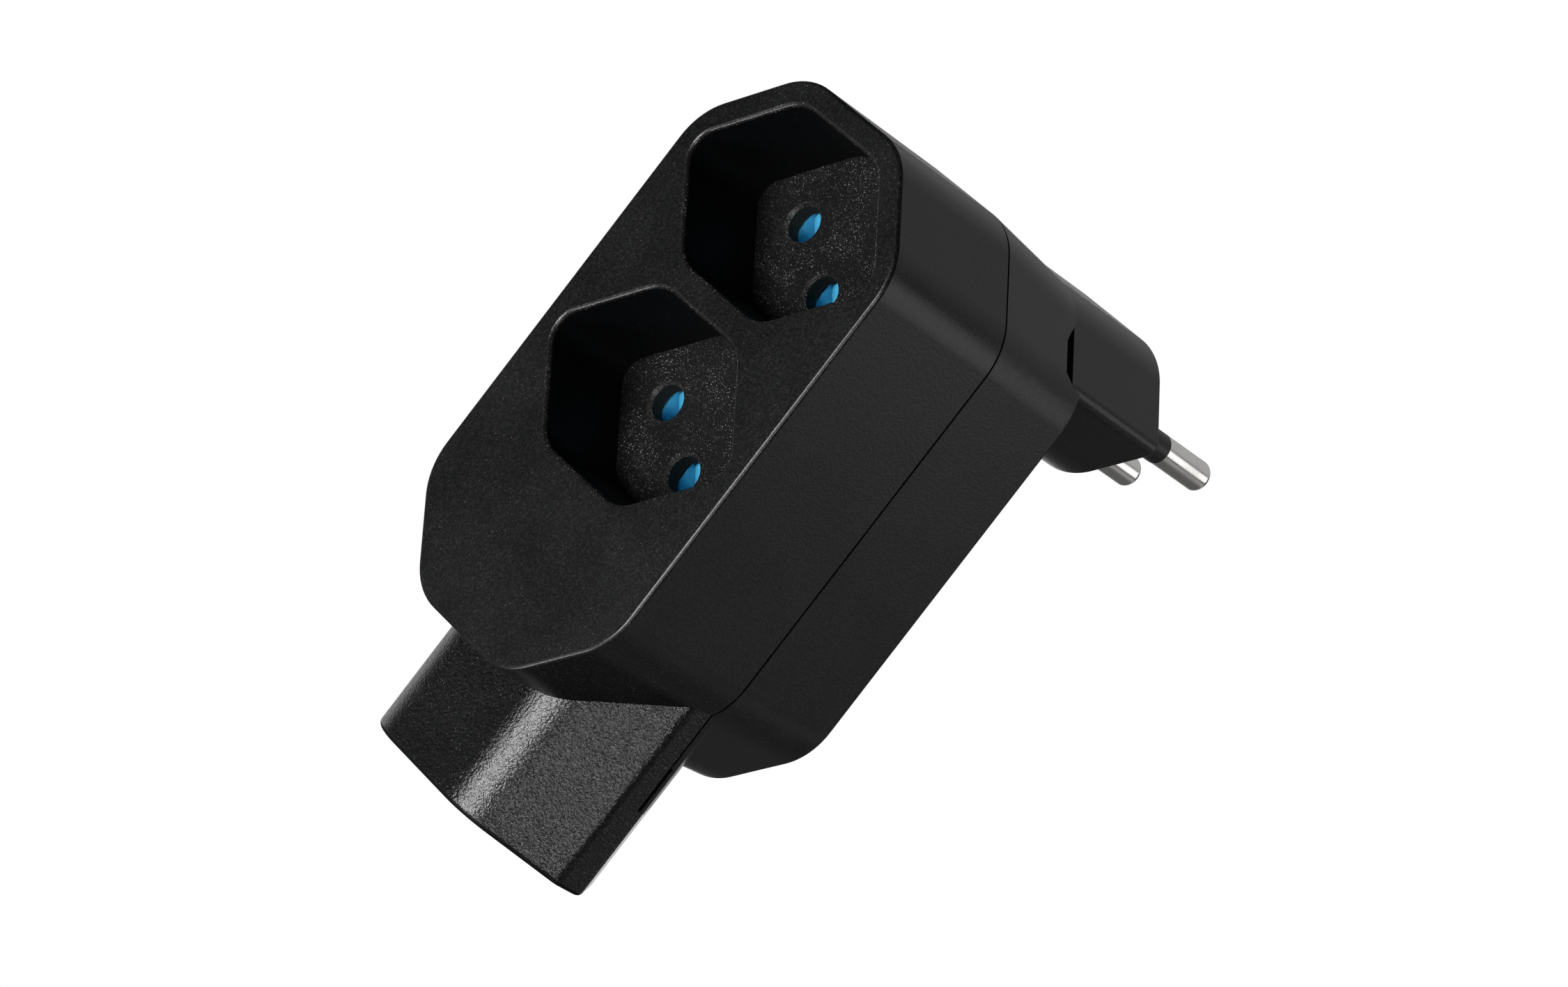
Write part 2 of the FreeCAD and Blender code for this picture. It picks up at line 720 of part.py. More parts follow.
# All pieces by name
pieces = {
    "front_cover": front_cover(),
    "back_shell": back_shell(),
    "lower_socket_housing": lower_socket_housing(),
    "plug_body": plug_body(),
    "contact_carrier": contact_carrier(),
    "lower_contact_carrier": lower_contact_carrier(),
    "case_screws": case_screws(),
}
for pole in holes:
    pieces[pole + "_pin"] = pin(pole)
    pieces[pole + "_bus_bar"] = bus_bar(pole)
for pole in ("line", "neutral"):
    pieces[pole + "_pin_collar"] = pin_collar(pole)
for socket in ("upper", "middle", "lower"):
    pieces[socket + "_shutter"] = placed(shutter(), socket)
    pieces[socket + "_shutter_guide"] = placed(shutter_guide(), socket)
    pieces[socket + "_shutter_spring"] = placed(shutter_spring(), socket)
    for pole in holes:
        pieces[socket + "_" + pole + "_contact"] = placed(contact(pole), socket)

os.makedirs("parts", exist_ok=True)
for name, shape in pieces.items():
    shape.exportStep("parts/" + name + ".step")
    print(name, "valid" if shape.isValid() else "NOT VALID", len(shape.Solids), round(shape.Volume, 2))
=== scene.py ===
"""Dresses the three-way round-pin adapter: finishes, screws, springs, studio and camera.

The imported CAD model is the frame. Lengths inside the classes are in millimetres and turn into metres with MM.
"""
import logging
import math
from dataclasses import dataclass, field
from enum import Enum, IntEnum
from typing import Any, Callable, Sequence, Union

import bmesh
import bpy
from mathutils import Matrix, Vector


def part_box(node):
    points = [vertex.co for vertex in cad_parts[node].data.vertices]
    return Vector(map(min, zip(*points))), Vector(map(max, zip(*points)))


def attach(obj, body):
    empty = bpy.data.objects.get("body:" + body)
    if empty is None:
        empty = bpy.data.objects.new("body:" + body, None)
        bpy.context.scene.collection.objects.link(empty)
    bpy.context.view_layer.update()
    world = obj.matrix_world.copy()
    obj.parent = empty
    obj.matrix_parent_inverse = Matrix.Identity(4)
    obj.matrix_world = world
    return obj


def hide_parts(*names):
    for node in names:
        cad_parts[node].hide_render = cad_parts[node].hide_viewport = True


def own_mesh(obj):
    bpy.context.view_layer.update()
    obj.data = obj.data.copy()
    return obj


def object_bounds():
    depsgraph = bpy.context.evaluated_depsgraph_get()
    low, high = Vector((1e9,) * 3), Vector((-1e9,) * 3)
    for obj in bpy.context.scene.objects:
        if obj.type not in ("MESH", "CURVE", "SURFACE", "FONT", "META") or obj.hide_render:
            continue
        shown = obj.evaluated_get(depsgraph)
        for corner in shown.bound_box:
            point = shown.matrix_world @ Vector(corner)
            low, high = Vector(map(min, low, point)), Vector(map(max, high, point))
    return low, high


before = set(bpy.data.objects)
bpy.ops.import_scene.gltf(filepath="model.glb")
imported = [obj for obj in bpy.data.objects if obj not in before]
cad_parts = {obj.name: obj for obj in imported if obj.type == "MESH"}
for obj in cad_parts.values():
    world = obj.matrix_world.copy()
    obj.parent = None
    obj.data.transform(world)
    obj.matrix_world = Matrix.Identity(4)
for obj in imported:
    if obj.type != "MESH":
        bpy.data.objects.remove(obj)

MM = 0.001
# Vertices nearer than this many metres are one, and shorter edges go.
MERGE_DISTANCE = 2e-7
SLIVER_LENGTH = 1e-7
# The Mix node's colour sockets.
MIX_FIRST, MIX_SECOND, MIX_RESULT = 6, 7, 2
# The share of a fleck's radius that is solid, the softness of the pick, and a noise with strong fine octaves.
FLECK_CORE = 0.4
PICK_EDGE = 0.01
CRISP = 0.6
CAD_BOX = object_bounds()
Triple = tuple[float, float, float]
Colour = Triple
log = logging.getLogger("adapter")


class Body(Enum):
    """The CAD bodies that pieces ride on."""

    ADAPTER = "adapter"
    UPPER = "upper_shutter"
    MIDDLE = "middle_shutter"
    LOWER = "lower_shutter"


class Slot(Enum):
    """The record's material slots."""

    BODY = "body_black"
    COLLAR = "collar_black"
    PIN = "pin_nickel"
    SHUTTER = "shutter_blue"
    CARRIER = "carrier_grey"
    CONTACT = "contact_brass"
    SPRING = "spring_steel"
    SCREW = "screw_steel"


class Zone(IntEnum):
    """The parts of a socket's surface, in the order of its materials."""

    OUTSIDE = 0
    LIP = 1
    WALL = 2
    FLOOR = 3
    HOLE = 4
    HOLE_EDGE = 5


# Gives a face's zone from its centre in millimetres and its normal.
Region = Callable[[Vector, Vector], Zone]


# Shader expressions


class Number:
    """A shader value that adds Math nodes when it is used in a Python expression."""

    def __init__(self, tree: "ShaderTree", socket: bpy.types.NodeSocket) -> None:
        """Wraps an output socket.

        Args:
            tree: The tree that the socket belongs to.
            socket: The output socket.
        """
        self.tree = tree
        self.socket = socket

    def _math(self, operation: str, first: Any, second: Any) -> "Number":
        """Adds one Math node.

        Args:
            operation: The node's operation.
            first: The first value, a number or a Number.
            second: The second value, a number or a Number.

        Returns:
            The node's value.
        """
        return self.tree.number("ShaderNodeMath", {"operation": operation}, {0: first, 1: second})

    def __add__(self, other: Any) -> "Number":
        """Returns self + other."""
        return self._math("ADD", self, other)

    __radd__ = __add__

    def __sub__(self, other: Any) -> "Number":
        """Returns self - other."""
        return self._math("SUBTRACT", self, other)

    def __rsub__(self, other: Any) -> "Number":
        """Returns other - self."""
        return self._math("SUBTRACT", other, self)

    def __mul__(self, other: Any) -> "Number":
        """Returns self * other."""
        return self._math("MULTIPLY", self, other)

    __rmul__ = __mul__

    def ramp(self, low: float, high: float) -> "Number":
        """Maps low to 0 and high to 1, smoothly, and holds the ends.

        Args:
            low: The value that gives 0.
            high: The value that gives 1.

        Returns:
            The mapped value.
        """
        settings = {"interpolation_type": "SMOOTHSTEP"}
        inputs = {"Value": self, "From Min": low, "From Max": high}
        return self.tree.number("ShaderNodeMapRange", settings, inputs)


class ShaderTree:
    """The node tree of a material or of the world."""

    def __init__(self, owner: Union[bpy.types.Material, bpy.types.World]) -> None:
        """Empties the owner's tree.

        Args:
            owner: The new material or world.
        """
        self.owner = owner
        owner.use_nodes = True
        self.nodes = owner.node_tree.nodes
        self.links = owner.node_tree.links
        self.nodes.clear()
        self._place: Any = None

    def node(self, kind: str, settings: dict[str, Any], inputs: dict[Any, Any]) -> bpy.types.Node:
        """Adds a node of any kind.

        Args:
            kind: The node's type.
            settings: Its settings, set first.
            inputs: A value or a link for each named or numbered socket.

        Returns:
            The node.
        """
        made = self.nodes.new(kind)
        for key, value in settings.items():
            setattr(made, key, value)
        for key, value in inputs.items():
            self.feed(made.inputs[key], value)
        return made

    def feed(self, socket: bpy.types.NodeSocket, value: Any) -> None:
        """Links or sets one input socket.

        Args:
            socket: The input socket.
            value: A Number, a socket, a colour or a plain value.
        """
        if isinstance(value, Number):
            value = value.socket
        if isinstance(value, bpy.types.NodeSocket):
            self.links.new(value, socket)
        elif socket.type == "RGBA" and len(value) == 3:
            socket.default_value = (*value, 1.0)
        else:
            socket.default_value = value

    def number(self, kind: str, settings: dict[str, Any], inputs: dict[Any, Any],
               output: Any = 0) -> Number:
        """Adds a node and wraps one of its outputs.

        Args:
            kind: The node's type.
            settings: Its settings.
            inputs: Its sockets' values or links.
            output: The output's name or number.

        Returns:
            The wrapped output.
        """
        return Number(self, self.node(kind, settings, inputs).outputs[output])

    def place(self) -> bpy.types.NodeSocket:
        """Adds the piece's own coordinates once.

        Returns:
            The coordinates in metres.
        """
        if self._place is None:
            self._place = self.node("ShaderNodeTexCoord", {}, {}).outputs["Object"]
        return self._place

    def along(self, axis: str) -> Number:
        """Returns one coordinate, X, Y or Z, in millimetres."""
        return self.number("ShaderNodeSeparateXYZ", {}, {0: self.place()}, axis) * (1 / MM)

    def stretched(self, scale: Sequence[float]) -> bpy.types.NodeSocket:
        """Returns the coordinates stretched by a factor for each axis."""
        return self.node("ShaderNodeMapping", {}, {"Vector": self.place(), "Scale": scale}).outputs[0]

    def noise(self, size: float, detail: float = 3.0, rough: float = 0.5, vector: Any = None) -> Number:
        """Adds a noise whose features have a real size.

        Args:
            size: The features' size in millimetres.
            detail: The noise's octaves.
            rough: How strong the finer octaves are.
            vector: Other coordinates than the piece's own.

        Returns:
            The noise, from 0 to 1.
        """
        inputs = {"Vector": vector or self.place(), "Scale": 1 / (size * MM), "Detail": detail,
                  "Roughness": rough}
        return self.number("ShaderNodeTexNoise", {}, inputs)

    def flecks(self, pitch: float, radius: float, share: float) -> Number:
        """Adds sparse round flecks.

        Args:
            pitch: The mean distance of the places in millimetres.
            radius: The flecks' radius in millimetres.
            share: The share of the places that hold a fleck.

        Returns:
            A mask that is 1 in a fleck.
        """
        cells = self.node("ShaderNodeTexVoronoi", {}, {"Vector": self.place(), "Scale": 1 / (pitch * MM)})
        spot = Number(self, cells.outputs["Distance"]).ramp(radius / pitch, FLECK_CORE * radius / pitch)
        pick = self.number("ShaderNodeSeparateColor", {}, {0: cells.outputs["Color"]}, 0)
        return spot * pick.ramp(1 - share, 1 - share + PICK_EDGE)

    def mixed(self, factor: Number, first: Any, second: Any) -> bpy.types.NodeSocket:
        """Mixes two colours.

        Args:
            factor: The share of the second colour.
            first: The first colour or a link.
            second: The second colour or a link.

        Returns:
            The mixed colour.
        """
        made = self.node("ShaderNodeMix", {"data_type": "RGBA"}, {"Factor": factor})
        self.feed(made.inputs[MIX_FIRST], first)
        self.feed(made.inputs[MIX_SECOND], second)
        return made.outputs[MIX_RESULT]

    def bump(self, height: Number, depth: float) -> bpy.types.NodeSocket:
        """Adds a bump of a real depth.

        Args:
            height: The height from 0 to 1.
            depth: The depth in millimetres.

        Returns:
            The normal.
        """
        inputs = {"Height": height, "Distance": depth * MM, "Strength": 1.0}
        return self.node("ShaderNodeBump", {}, inputs).outputs[0]

    def finish(self, **sockets: Any) -> bpy.types.Material:
        """Adds the shader and the output.

        Args:
            **sockets: The shader's sockets, with _ for a space.

        Returns:
            The material.
        """
        inputs = {key.replace("_", " "): value for key, value in sockets.items()}
        shader = self.node("ShaderNodeBsdfPrincipled", {}, inputs)
        self.node("ShaderNodeOutputMaterial", {}, {"Surface": shader.outputs[0]})
        return self.owner


# Finishes


@dataclass(frozen=True)
class MouldedPlastic:
    """A moulded plastic with a spark-eroded grain and sparse light flecks, which crowd in places. The flecks
    are partly the plastic's own light specks and partly painted glints, standing in for grain that catches the
    light.

    Sizes are in millimetres.
    """

    name: str
    colour: Colour
    sheen_colour: Colour
    roughness: float
    grain: float
    grain_depth: float
    flecks: float = 0.0
    fleck_pitch: float = 0.55
    fleck_radius: float = 0.09
    fleck_colour: Colour = (0.30, 0.30, 0.31)
    specular: float = 0.5
    cloud_size: float = 14.0
    crowd_size: float = 7.0
    fine_pitch_ratio: float = 1.9
    fine_radius_ratio: float = 1.6
    fine_strength: float = 0.6
    grain_detail: float = 2.5
    grain_tones: tuple[float, float] = (0.42, 0.72)
    cloud_tones: tuple[float, float] = (0.35, 0.75)
    grain_share: float = 0.7
    crowd_ends: tuple[float, float] = (0.38, 0.66)
    crowd_least: float = 0.2
    cloud_roughness: float = 0.06
    grain_roughness: float = 0.12

    def build(self) -> bpy.types.Material:
        """Builds the material.

        Returns:
            The material.
        """
        tree = ShaderTree(bpy.data.materials.new(self.name))
        cloud = tree.noise(self.cloud_size)
        grain = tree.noise(self.grain, self.grain_detail, CRISP)
        tone = grain.ramp(*self.grain_tones) * self.grain_share
        tone = tone + cloud.ramp(*self.cloud_tones) * (1 - self.grain_share)
        colour = tree.mixed(tone, self.colour, self.sheen_colour)
        # Painted glints: the light flecks are partly the plastic's own specks and partly stand in for grain
        # catching the light.
        if self.flecks:
            coarse = tree.flecks(self.fleck_pitch, self.fleck_radius, self.flecks)
            fine = tree.flecks(self.fleck_pitch / self.fine_pitch_ratio,
                               self.fleck_radius / self.fine_radius_ratio, self.flecks)
            crowd = tree.noise(self.crowd_size, rough=CRISP).ramp(*self.crowd_ends)
            crowd = crowd * (1 - self.crowd_least) + self.crowd_least
            colour = tree.mixed((coarse + fine * self.fine_strength) * crowd, colour, self.fleck_colour)
        rough = self.roughness + (cloud - 0.5) * self.cloud_roughness + (grain - 0.5) * self.grain_roughness
        normal = tree.bump(grain, self.grain_depth)
        return tree.finish(Base_Color=colour, Roughness=rough, Normal=normal, IOR=1.5,
                           Specular_IOR_Level=self.specular)


@dataclass(frozen=True)
class Metal:
    """A metal with fine lines from drawing or turning and faint tarnish. Sizes are in millimetres."""

    name: str
    colour: Colour
    dull_colour: Colour
    roughness: float
    line_scale: Triple
    line_depth: float = 0.002
    line_size: float = 1.0
    tarnish_size: float = 3.5
    tarnish_tones: tuple[float, float] = (0.35, 0.8)
    tarnish_ends: tuple[float, float] = (0.45, 0.9)
    line_roughness: float = 0.12
    tarnish_roughness: float = 0.1

    def build(self) -> bpy.types.Material:
        """Builds the material.

        Returns:
            The material.
        """
        tree = ShaderTree(bpy.data.materials.new(self.name))
        lines = tree.noise(self.line_size, rough=CRISP, vector=tree.stretched(self.line_scale))
        cloud = tree.noise(self.tarnish_size)
        colour = tree.mixed(cloud.ramp(*self.tarnish_tones), self.colour, self.dull_colour)
        rough = self.roughness + (lines - 0.5) * self.line_roughness
        rough = rough + cloud.ramp(*self.tarnish_ends) * self.tarnish_roughness
        normal = tree.bump(lines, self.line_depth)
        return tree.finish(Base_Color=colour, Roughness=rough, Normal=normal, Metallic=1.0)


# The flecks of the body and housing plastics are partly their own light specks and partly painted glints of
# grain catching the light.
BODY_BLACK = MouldedPlastic(
    "body_black", (0.0004, 0.0005, 0.0007), (0.0110, 0.0113, 0.0115), 0.33, 0.34, 0.020,
    flecks=0.6, fleck_pitch=0.46, fleck_radius=0.072, fleck_colour=(0.15, 0.15, 0.153))
# Painted highlight: the recess lips are a lighter copy of the body plastic with brighter, denser flecks,
# standing in for the stippled highlight along the rims.
RECESS_LIP_HIGHLIGHT = MouldedPlastic(
    "recess_lip_highlight", (0.004, 0.004, 0.0042), (0.016, 0.016, 0.016), 0.29, 0.24, 0.030,
    flecks=0.7, fleck_pitch=0.36, fleck_radius=0.085, fleck_colour=(0.34, 0.34, 0.35))
RECESS_WALL = MouldedPlastic(
    "recess_wall", (0.0022, 0.0025, 0.0032), (0.0032, 0.0035, 0.0042), 0.50, 0.5, 0.001,
    flecks=0.3, fleck_pitch=1.0, fleck_radius=0.085, fleck_colour=(0.10, 0.10, 0.11), specular=0.12)
# The recess floors' dense bright flecks are partly the plastic's own specks and partly painted glints of grain
# catching the light.
RECESS_FLOOR = MouldedPlastic(
    "recess_floor", (0.0010, 0.0010, 0.0012), (0.0095, 0.0095, 0.0095), 0.34, 0.24, 0.024,
    flecks=0.85, fleck_pitch=0.34, fleck_radius=0.070, fleck_colour=(0.60, 0.60, 0.61))
# Painted highlight: the hole entry rings are a lighter copy of the black plastic with dense bright flecks,
# standing in for the bright stippled ring at each hole.
HOLE_RIM_HIGHLIGHT = MouldedPlastic(
    "hole_rim_highlight", (0.010, 0.010, 0.0103), (0.050, 0.050, 0.051), 0.28, 0.24, 0.030,
    flecks=0.9, fleck_pitch=0.30, fleck_radius=0.070, fleck_colour=(0.60, 0.60, 0.61))
# Painted light: the hole walls are a grey copy of the black plastic, so that where light falls into the holes
# their walls show grey.
HOLE_WALL_LIT = MouldedPlastic(
    "hole_wall_lit", (0.024, 0.026, 0.024), (0.036, 0.038, 0.036), 0.7, 0.4, 0.002, specular=0.05)
HOUSING_BLACK = MouldedPlastic(
    "housing_black", (0.0008, 0.0009, 0.0011), (0.0070, 0.0072, 0.0075), 0.20, 0.38, 0.10,
    flecks=0.5, fleck_pitch=0.38, fleck_radius=0.07, fleck_colour=(0.22, 0.22, 0.225))
PIN_COLLAR = MouldedPlastic("pin_collar", (0.010, 0.010, 0.010), (0.02, 0.02, 0.02), 0.4, 0.3, 0.006)
SHUTTER_BLUE = MouldedPlastic("shutter_blue", (0.08, 0.50, 0.80), (0.12, 0.58, 0.86), 0.35, 0.5, 0.006)
CARRIER_GREY = MouldedPlastic("carrier_grey", (0.10, 0.10, 0.105), (0.16, 0.16, 0.165), 0.5, 0.4, 0.01)
NICKEL = Metal("pin_nickel", (0.92, 0.90, 0.87), (0.84, 0.82, 0.79), 0.22, (3.0, 0.2, 3.0), 0.0002)
BRASS = Metal("contact_brass", (0.80, 0.58, 0.24), (0.52, 0.36, 0.16), 0.3, (4.0, 0.6, 4.0))
SPRING_STEEL = Metal("spring_steel", (0.55, 0.55, 0.56), (0.36, 0.36, 0.37), 0.3, (2.0, 2.0, 2.0))
SCREW_STEEL = Metal("screw_steel", (0.50, 0.50, 0.51), (0.30, 0.30, 0.31), 0.34, (3.0, 0.8, 3.0))
FINISHES = (BODY_BLACK, RECESS_LIP_HIGHLIGHT, RECESS_WALL, RECESS_FLOOR, HOLE_WALL_LIT, HOLE_RIM_HIGHLIGHT, HOUSING_BLACK, PIN_COLLAR,
            SHUTTER_BLUE, CARRIER_GREY, NICKEL, BRASS, SPRING_STEEL, SCREW_STEEL)
SOCKET_FINISHES = (RECESS_LIP_HIGHLIGHT, RECESS_WALL, RECESS_FLOOR, HOLE_WALL_LIT, HOLE_RIM_HIGHLIGHT)
Finish = Union[MouldedPlastic, Metal]
WHITE = (1.0, 1.0, 1.0)


class Rack:
    """Holds each finish's material, built once."""

    def __init__(self, finishes: Sequence[Finish]) -> None:
        """Builds the materials.

        Args:
            finishes: The finishes.
        """
        self.materials = {finish.name: finish.build() for finish in finishes}

    def get(self, finish: Finish) -> bpy.types.Material:
        """Returns the material of a finish."""
        return self.materials[finish.name]


# Mesh work


def link(mesh: bpy.types.Mesh, name: str) -> bpy.types.Object:
    """Puts a mesh into the scene.

    Args:
        mesh: The mesh.
        name: The object's name.

    Returns:
        The object, at the origin.
    """
    made = bpy.data.objects.new(name, mesh)
    bpy.context.scene.collection.objects.link(made)
    return made


def baked(piece: bpy.types.Object) -> bpy.types.Object:
    """Turns a piece with modifiers into a plain mesh.

    Args:
        piece: The piece.

    Returns:
        The same piece with its modifiers applied and removed.
    """
    graph = bpy.context.evaluated_depsgraph_get()
    mesh = bpy.data.meshes.new_from_object(
        piece.evaluated_get(graph), preserve_all_data_layers=True, depsgraph=graph)
    piece.modifiers.clear()
    piece.data = mesh
    return piece


@dataclass
class Skin:
    """A merged, smooth-shaded copy of a CAD node that stands for it."""

    node: str
    body: Body
    slot: Slot
    crease: float = 28.0

    def build(self, materials: Sequence[bpy.types.Material],
              region: Region = lambda centre, normal: Zone.OUTSIDE) -> bpy.types.Object:
        """Builds the piece.

        Args:
            materials: The piece's materials.
            region: Gives a face's material from its centre and normal, in millimetres.

        Returns:
            The piece.
        """
        work = bmesh.new()
        work.from_mesh(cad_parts[self.node].data)
        bmesh.ops.remove_doubles(work, verts=work.verts, dist=MERGE_DISTANCE)
        bmesh.ops.dissolve_degenerate(work, dist=SLIVER_LENGTH, edges=work.edges)
        limit = math.radians(self.crease)
        for edge in work.edges:
            edge.smooth = len(edge.link_faces) == 2 and edge.calc_face_angle(math.pi) < limit
        for face in work.faces:
            face.smooth = True
            face.material_index = region(face.calc_center_median() / MM, face.normal)
        mesh = bpy.data.meshes.new(self.node + "_skin")
        work.to_mesh(mesh)
        work.free()
        for material in materials:
            mesh.materials.append(material)
        piece = link(mesh, self.node + "_skin")
        weights = piece.modifiers.new("flat_sides", "WEIGHTED_NORMAL")
        weights.keep_sharp = True
        baked(piece)
        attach(piece, self.body.value)
        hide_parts(self.node)
        return piece


class NodeTree:
    """A Geometry Nodes tree that is built in code, with named inputs."""

    def __init__(self, name: str) -> None:
        """Makes an empty tree with a geometry input and output.

        Args:
            name: The tree's name.
        """
        self.tree = bpy.data.node_groups.new(name, "GeometryNodeTree")
        self.tree.interface.new_socket("Geometry", in_out="INPUT", socket_type="NodeSocketGeometry")
        self.tree.interface.new_socket("Geometry", in_out="OUTPUT", socket_type="NodeSocketGeometry")
        self.entry = self.tree.nodes.new("NodeGroupInput")
        self.exit = self.tree.nodes.new("NodeGroupOutput")
        self.values: dict[str, float] = {}

    def size(self, name: str, value: float) -> bpy.types.NodeSocket:
        """Adds a named input.

        Args:
            name: The input's name.
            value: Its value in metres, or a plain number.

        Returns:
            The socket inside the tree.
        """
        kind = "NodeSocketInt" if isinstance(value, int) else "NodeSocketFloat"
        made = self.tree.interface.new_socket(name, in_out="INPUT", socket_type=kind)
        self.values[made.identifier] = value
        return self.entry.outputs[made.name]

    def node(self, kind: str, settings: dict[str, Any], inputs: dict[Any, Any]) -> bpy.types.Node:
        """Adds a node of any kind.

        Args:
            kind: The node's type.
            settings: Its settings, set first.
            inputs: A value or a link for each named or numbered socket.

        Returns:
            The node.
        """
        made = self.tree.nodes.new(kind)
        for key, value in settings.items():
            setattr(made, key, value)
        for key, value in inputs.items():
            if isinstance(value, bpy.types.NodeSocket):
                self.tree.links.new(value, made.inputs[key])
            else:
                made.inputs[key].default_value = value
        return made

    def join(self, parts: Sequence[bpy.types.NodeSocket]) -> bpy.types.NodeSocket:
        """Joins geometry.

        Args:
            parts: The parts.

        Returns:
            The joined geometry.
        """
        made = self.node("GeometryNodeJoinGeometry", {}, {})
        for part in parts:
            self.tree.links.new(part, made.inputs[0])
        return made.outputs[0]

    def close(self, geometry: bpy.types.NodeSocket, material: bpy.types.Material) -> None:
        """Ends the tree in Realize Instances and Set Material.

        Args:
            geometry: The geometry.
            material: Its material.
        """
        real = self.node("GeometryNodeRealizeInstances", {}, {0: geometry}).outputs[0]
        dressed = self.node("GeometryNodeSetMaterial", {}, {"Geometry": real, "Material": material})
        self.tree.links.new(dressed.outputs[0], self.exit.inputs[0])

    def applied(self, piece: bpy.types.Object) -> bpy.types.Object:
        """Runs the tree on a piece and keeps the result as a plain mesh.

        Args:
            piece: The piece whose mesh goes in.

        Returns:
            The piece with the result.
        """
        modifier = piece.modifiers.new("made_by_rule", "NODES")
        modifier.node_group = self.tree
        for identifier, value in self.values.items():
            modifier[identifier] = value
        return baked(piece)


def points(places: Sequence[Vector], name: str) -> bpy.types.Object:
    """Makes a mesh of loose points.

    Args:
        places: The points in metres.
        name: The object's name.

    Returns:
        The object.
    """
    mesh = bpy.data.meshes.new(name)
    mesh.from_pydata([tuple(place) for place in places], [], [])
    return link(mesh, name)


# Sub-assemblies


@dataclass(frozen=True)
class Recess:
    """The depths of a socket's recess, seen into its mouth, in millimetres."""

    lip: float = 0.56
    depth: float = 13.4
    entry: float = 0.45
    skin: float = 0.01
    floor_band: float = 0.02
    hole_reach: float = 3.0

    def zone(self, deep: float) -> Zone:
        """Tells the zone at a depth inside the recess's outline.

        Args:
            deep: The depth below the mouth.

        Returns:
            The zone.
        """
        if not self.skin < deep < self.depth + self.hole_reach:
            return Zone.OUTSIDE
        if deep < self.lip:
            return Zone.LIP
        if deep < self.depth - self.floor_band:
            return Zone.WALL
        if deep < self.depth + self.floor_band:
            return Zone.FLOOR
        return Zone.HOLE_EDGE if deep < self.depth + self.entry else Zone.HOLE


@dataclass
class FrontCover:
    """The front cover with its two recesses."""

    rack: Rack
    recess: Recess = Recess()
    front: float = -56.35
    heights: tuple[float, float] = (-3.6, -30.2)
    half_height: float = 12.16
    half_length: float = 20.74

    def region(self, centre: Vector, normal: Vector) -> Zone:
        """Tells the parts of a recess from the outside.

        Args:
            centre: The face's centre in millimetres.
            normal: Its normal.

        Returns:
            The zone.
        """
        across, up = abs(centre.x), min(abs(centre.z - height) for height in self.heights)
        inside = up <= self.half_height and across + up <= self.half_length
        return self.recess.zone(centre.y - self.front) if inside else Zone.OUTSIDE

    def build(self) -> list[bpy.types.Object]:
        """Builds the cover's pieces.

        Returns:
            The pieces.
        """
        materials = [self.rack.get(finish) for finish in (BODY_BLACK, *SOCKET_FINISHES)]
        return [Skin("front_cover", Body.ADAPTER, Slot.BODY).build(materials, self.region)]


@dataclass
class BackShell:
    """The back shell with its ledge, notches and skirt."""

    rack: Rack

    def build(self) -> list[bpy.types.Object]:
        """Builds the shell's pieces.

        Returns:
            The pieces.
        """
        return [Skin("back_shell", Body.ADAPTER, Slot.BODY).build([self.rack.get(BODY_BLACK)])]


@dataclass
class LowerHousing:
    """The hexagonal housing of the socket that opens downwards."""

    rack: Rack
    recess: Recess = Recess()
    mouth: float = -81.5
    axis: float = -35.55
    half_height: float = 11.8
    half_length: float = 19.95
    corner: float = 18.9
    mouth_slope: float = -0.3

    def region(self, centre: Vector, normal: Vector) -> Zone:
        """Tells the parts of the recess from the outside.

        Args:
            centre: The face's centre in millimetres.
            normal: Its normal.

        Returns:
            The zone. The mouth's rim counts as wall, which is the dullest finish.
        """
        deep, across, up = centre.z - self.mouth, abs(centre.x), abs(centre.y - self.axis)
        if deep < self.recess.lip and normal.z < self.mouth_slope:
            return Zone.WALL
        inside = up <= self.half_height and across <= self.corner and across + up <= self.half_length
        return self.recess.zone(deep) if inside else Zone.OUTSIDE

    def build(self) -> list[bpy.types.Object]:
        """Builds the housing's pieces.

        Returns:
            The pieces.
        """
        materials = [self.rack.get(finish) for finish in (HOUSING_BLACK, *SOCKET_FINISHES)]
        return [Skin("lower_socket_housing", Body.ADAPTER, Slot.COLLAR).build(materials, self.region)]


@dataclass
class PlugTower:
    """The plug body with its three pins and two collars."""

    rack: Rack
    pins: tuple[str, ...] = ("line_pin", "neutral_pin", "earth_pin")
    collars: tuple[str, ...] = ("line_pin_collar", "neutral_pin_collar")

    def build(self) -> list[bpy.types.Object]:
        """Builds the plug's pieces.

        Returns:
            The pieces.
        """
        made = [Skin("plug_body", Body.ADAPTER, Slot.BODY).build([self.rack.get(BODY_BLACK)])]
        made += [Skin(name, Body.ADAPTER, Slot.PIN).build([self.rack.get(NICKEL)]) for name in self.pins]
        made += [Skin(name, Body.ADAPTER, Slot.COLLAR).build([self.rack.get(PIN_COLLAR)])
                 for name in self.collars]
        return made


